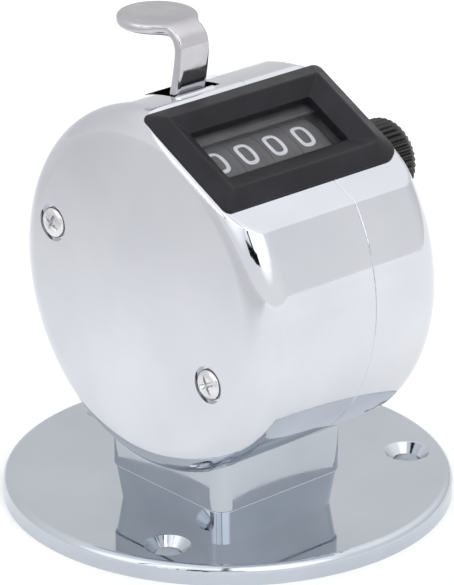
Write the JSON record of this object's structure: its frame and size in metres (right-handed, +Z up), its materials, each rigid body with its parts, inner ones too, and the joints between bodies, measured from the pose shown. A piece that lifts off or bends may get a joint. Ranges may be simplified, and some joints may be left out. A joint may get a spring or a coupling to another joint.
{
  "type": "tally counter",
  "caption": "Hand-pushed mechanical tally counter: chromed drum case with figure wheels behind a sloping window, thumb lever, reset knob, on a round screw-down base.",
  "frame": {"origin": "centre of the round base plate's underside", "axes": "+X along the drum and wheel shaft towards the reset knob, +Y to the back, away from the sloping window, +Z up from the base plate"},
  "size_m": [0.055, 0.0562, 0.0627],
  "materials": {
    "base_chrome": "polished plating",
    "foot_chrome": "polished plating over a casting",
    "shell_chrome": "polished plating",
    "lever_chrome": "plated, slightly brushed",
    "screw_steel": "plated",
    "frame_steel": "stamped, plain",
    "spring_steel": "drawn wire and strip",
    "bearing_brass": "turned",
    "bezel_plastic": "fine satin moulding",
    "knob_plastic": "moulded, straight ridges",
    "wheel_plastic": "moulded, dull",
    "lens_clear": "clear"
  },
  "bodies": {
    "case": {"base_plate": "base_chrome", "pedestal": "foot_chrome", "foot_block": "foot_chrome", "base_screws": "screw_steel", "foot_screws": "screw_steel", "casing_left": "shell_chrome", "casing_right": "shell_chrome", "casing_pillars": "frame_steel", "casing_screws": "screw_steel", "window_bezel": "bezel_plastic", "window_lens": "lens_clear", "figure_shade": "wheel_plastic", "frame_plate_left": "frame_steel", "frame_plate_right": "frame_steel", "frame_spacers": "bearing_brass", "dial_mask": "wheel_plastic", "detent_bar": "frame_steel", "detent_spring": "spring_steel", "detent_screws": "screw_steel", "lever_pivot_pin": "frame_steel", "pivot_clip": "spring_steel", "lever_return_spring": "spring_steel", "shaft_bush": "bearing_brass"},
    "lever": {"lever_yoke": "frame_steel", "thumb_lever": "lever_chrome", "lever_rivets": "frame_steel", "pawl_pin": "frame_steel", "pawl_spring": "spring_steel"},
    "pawl": {"pawl": "frame_steel"},
    "reset": {"reset_shaft": "frame_steel", "shaft_clip": "spring_steel", "reset_knob": "knob_plastic", "knob_screw": "screw_steel"},
    "wheel_thousands": {"wheel_thousands": "wheel_plastic", "ratchet_thousands": "frame_steel", "reset_pawl_thousands": "bearing_brass"},
    "wheel_hundreds": {"wheel_hundreds": "wheel_plastic", "ratchet_hundreds": "frame_steel", "reset_pawl_hundreds": "bearing_brass"},
    "wheel_tens": {"wheel_tens": "wheel_plastic", "ratchet_tens": "frame_steel", "reset_pawl_tens": "bearing_brass"},
    "wheel_units": {"wheel_units": "wheel_plastic", "ratchet_units": "frame_steel", "reset_pawl_units": "bearing_brass"}
  },
  "joints": [
    {"name": "lever_press", "type": "hinge", "parent": "case", "child": "lever", "pos_m": [-0.0057, -0.0221, 0.0387], "axis": [-1, 0, 0], "range_deg": [0, 12], "stiffness_Nm_per_rad": 0.1, "springref_deg": -28.65, "deforming": ["lever_return_spring"]},
    {"name": "pawl_swing", "type": "hinge", "parent": "lever", "child": "pawl", "pos_m": [-0.0057, 0.0022, 0.0479], "axis": [1, 0, 0], "range_deg": [0, 10], "stiffness_Nm_per_rad": 0.0004, "springref_deg": -28.65},
    {"name": "reset_turn", "type": "hinge", "parent": "case", "child": "reset", "pos_m": [-0.0057, -0.00906, 0.04116], "axis": [-1, 0, 0], "continuous": true},
    {"name": "thousands_turn", "type": "hinge", "parent": "reset", "child": "wheel_thousands", "pos_m": [-0.0057, -0.00906, 0.04116], "axis": [-1, 0, 0], "continuous": true},
    {"name": "hundreds_turn", "type": "hinge", "parent": "reset", "child": "wheel_hundreds", "pos_m": [-0.0057, -0.00906, 0.04116], "axis": [-1, 0, 0], "continuous": true},
    {"name": "tens_turn", "type": "hinge", "parent": "reset", "child": "wheel_tens", "pos_m": [-0.0057, -0.00906, 0.04116], "axis": [-1, 0, 0], "continuous": true},
    {"name": "units_turn", "type": "hinge", "parent": "reset", "child": "wheel_units", "pos_m": [-0.0057, -0.00906, 0.04116], "axis": [-1, 0, 0], "continuous": true}
  ],
  "couplings": [
    {"joint": "units_turn", "follows": "lever_press", "ratio": 3}
  ]
}
